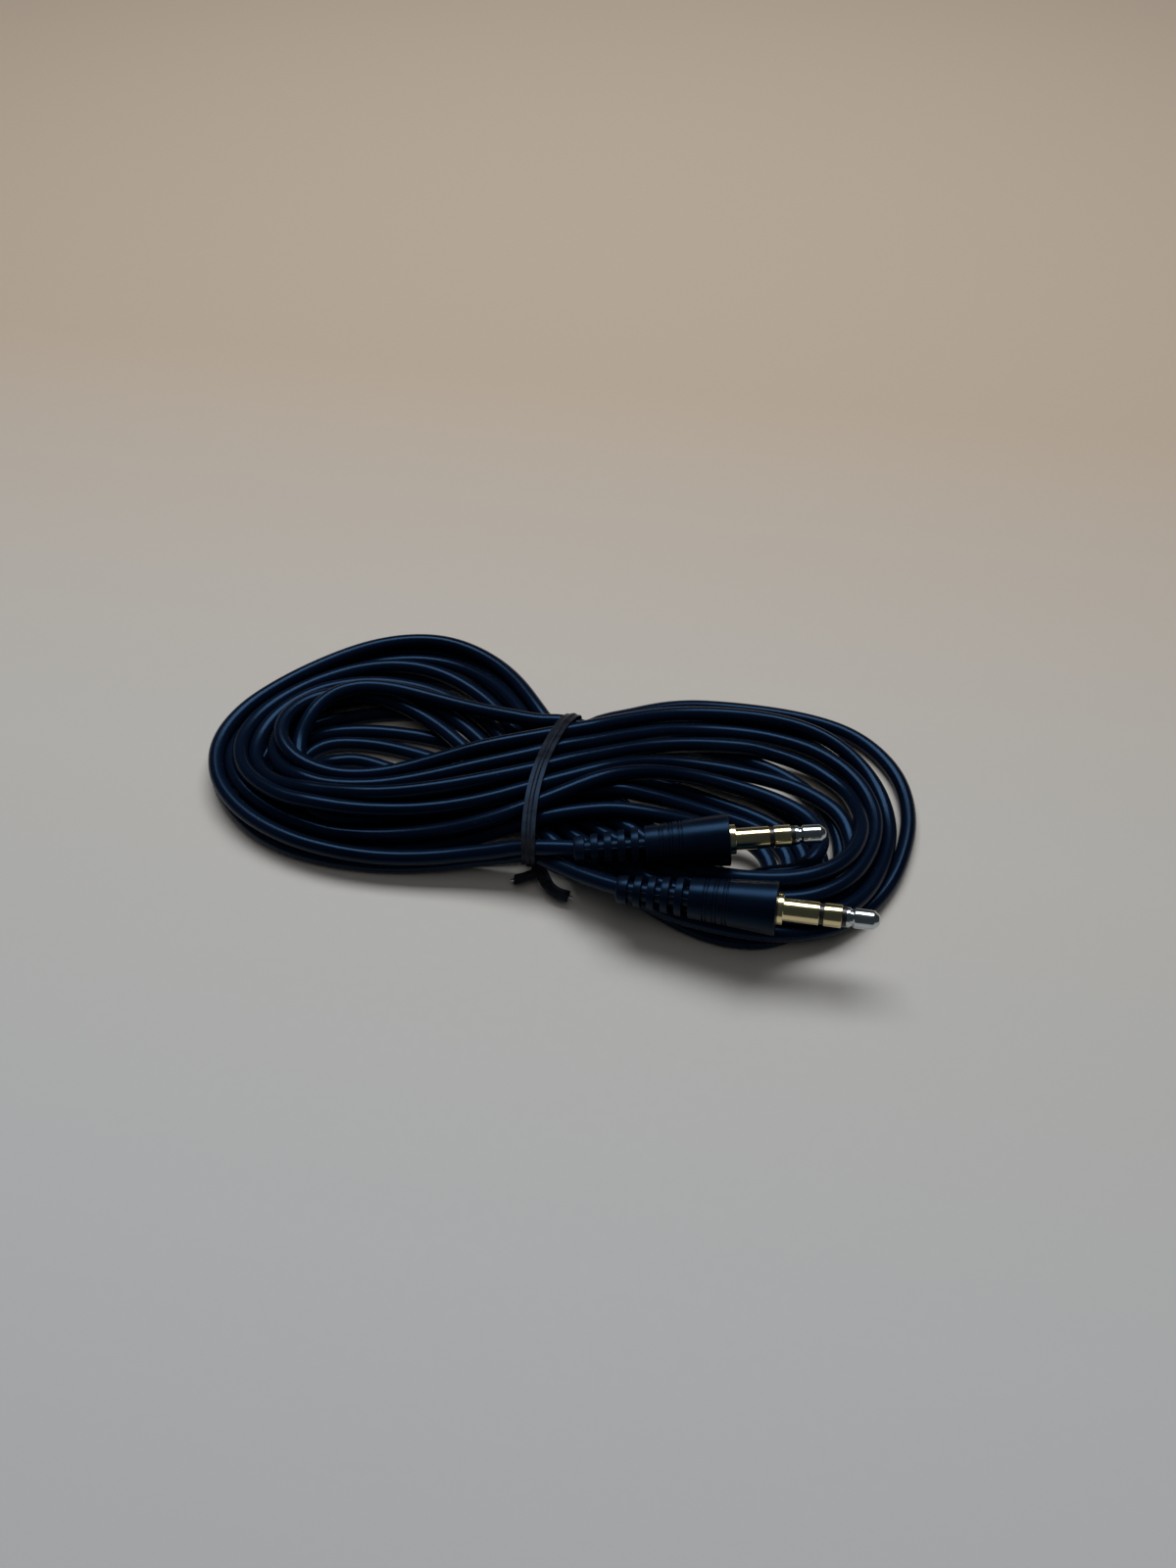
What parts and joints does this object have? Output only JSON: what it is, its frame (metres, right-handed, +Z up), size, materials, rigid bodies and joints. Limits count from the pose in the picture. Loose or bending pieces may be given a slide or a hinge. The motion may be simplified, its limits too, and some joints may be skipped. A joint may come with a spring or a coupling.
{
  "type": "audio cable",
  "caption": "Slim stereo audio cable with moulded miniature jack plugs, wound as a figure-of-eight hank and held by a twist tie.",
  "frame": {"origin": "middle of the hank's bounding box, on the surface it lies on", "axes": "+X along the hank's long way, +Y across it away from the plugs, +Z up"},
  "size_m": [0.1206, 0.0616, 0.0146],
  "materials": {
    "cord_jacket": "soft black PVC with a satin sheen",
    "boot_plastic": "moulded black PVC, smooth satin",
    "ribbon_plastic": "glossy black plastic film",
    "tie_steel": "bare drawn wire",
    "inner_plastic": "milky moulded polyethylene",
    "gold_plating": "polished pale gold plating",
    "nickel_plating": "polished bright plating",
    "tinned_brass": "tinned",
    "black_insulator": "smooth",
    "white_insulation": "smooth",
    "red_insulation": "smooth",
    "copper": "bare copper strands",
    "solder": "bright solder"
  },
  "bodies": {
    "root": {"hank_cord": "cord_jacket", "tie_ribbon": "ribbon_plastic", "tie_wire": "tie_steel", "upper_lead": "cord_jacket", "upper_boot": "boot_plastic", "upper_inner_mould": "inner_plastic", "upper_sleeve_contact": "gold_plating", "upper_ground_lug": "tinned_brass", "upper_sleeve_insulator": "black_insulator", "upper_ring_contact": "gold_plating", "upper_ring_lug": "tinned_brass", "upper_ring_insulator": "black_insulator", "upper_tip_contact": "nickel_plating", "upper_tip_lug": "tinned_brass", "upper_lug_spacer": "black_insulator", "upper_left_core_wire": "white_insulation", "upper_right_core_wire": "red_insulation", "upper_shield_drain": "copper", "upper_solder_joints": "solder", "lower_lead": "cord_jacket", "lower_boot": "boot_plastic", "lower_inner_mould": "inner_plastic", "lower_sleeve_contact": "gold_plating", "lower_ground_lug": "tinned_brass", "lower_sleeve_insulator": "black_insulator", "lower_ring_contact": "gold_plating", "lower_ring_lug": "tinned_brass", "lower_ring_insulator": "black_insulator", "lower_tip_contact": "nickel_plating", "lower_tip_lug": "tinned_brass", "lower_lug_spacer": "black_insulator", "lower_left_core_wire": "white_insulation", "lower_right_core_wire": "red_insulation", "lower_shield_drain": "copper", "lower_solder_joints": "solder"}
  },
  "joints": []
}
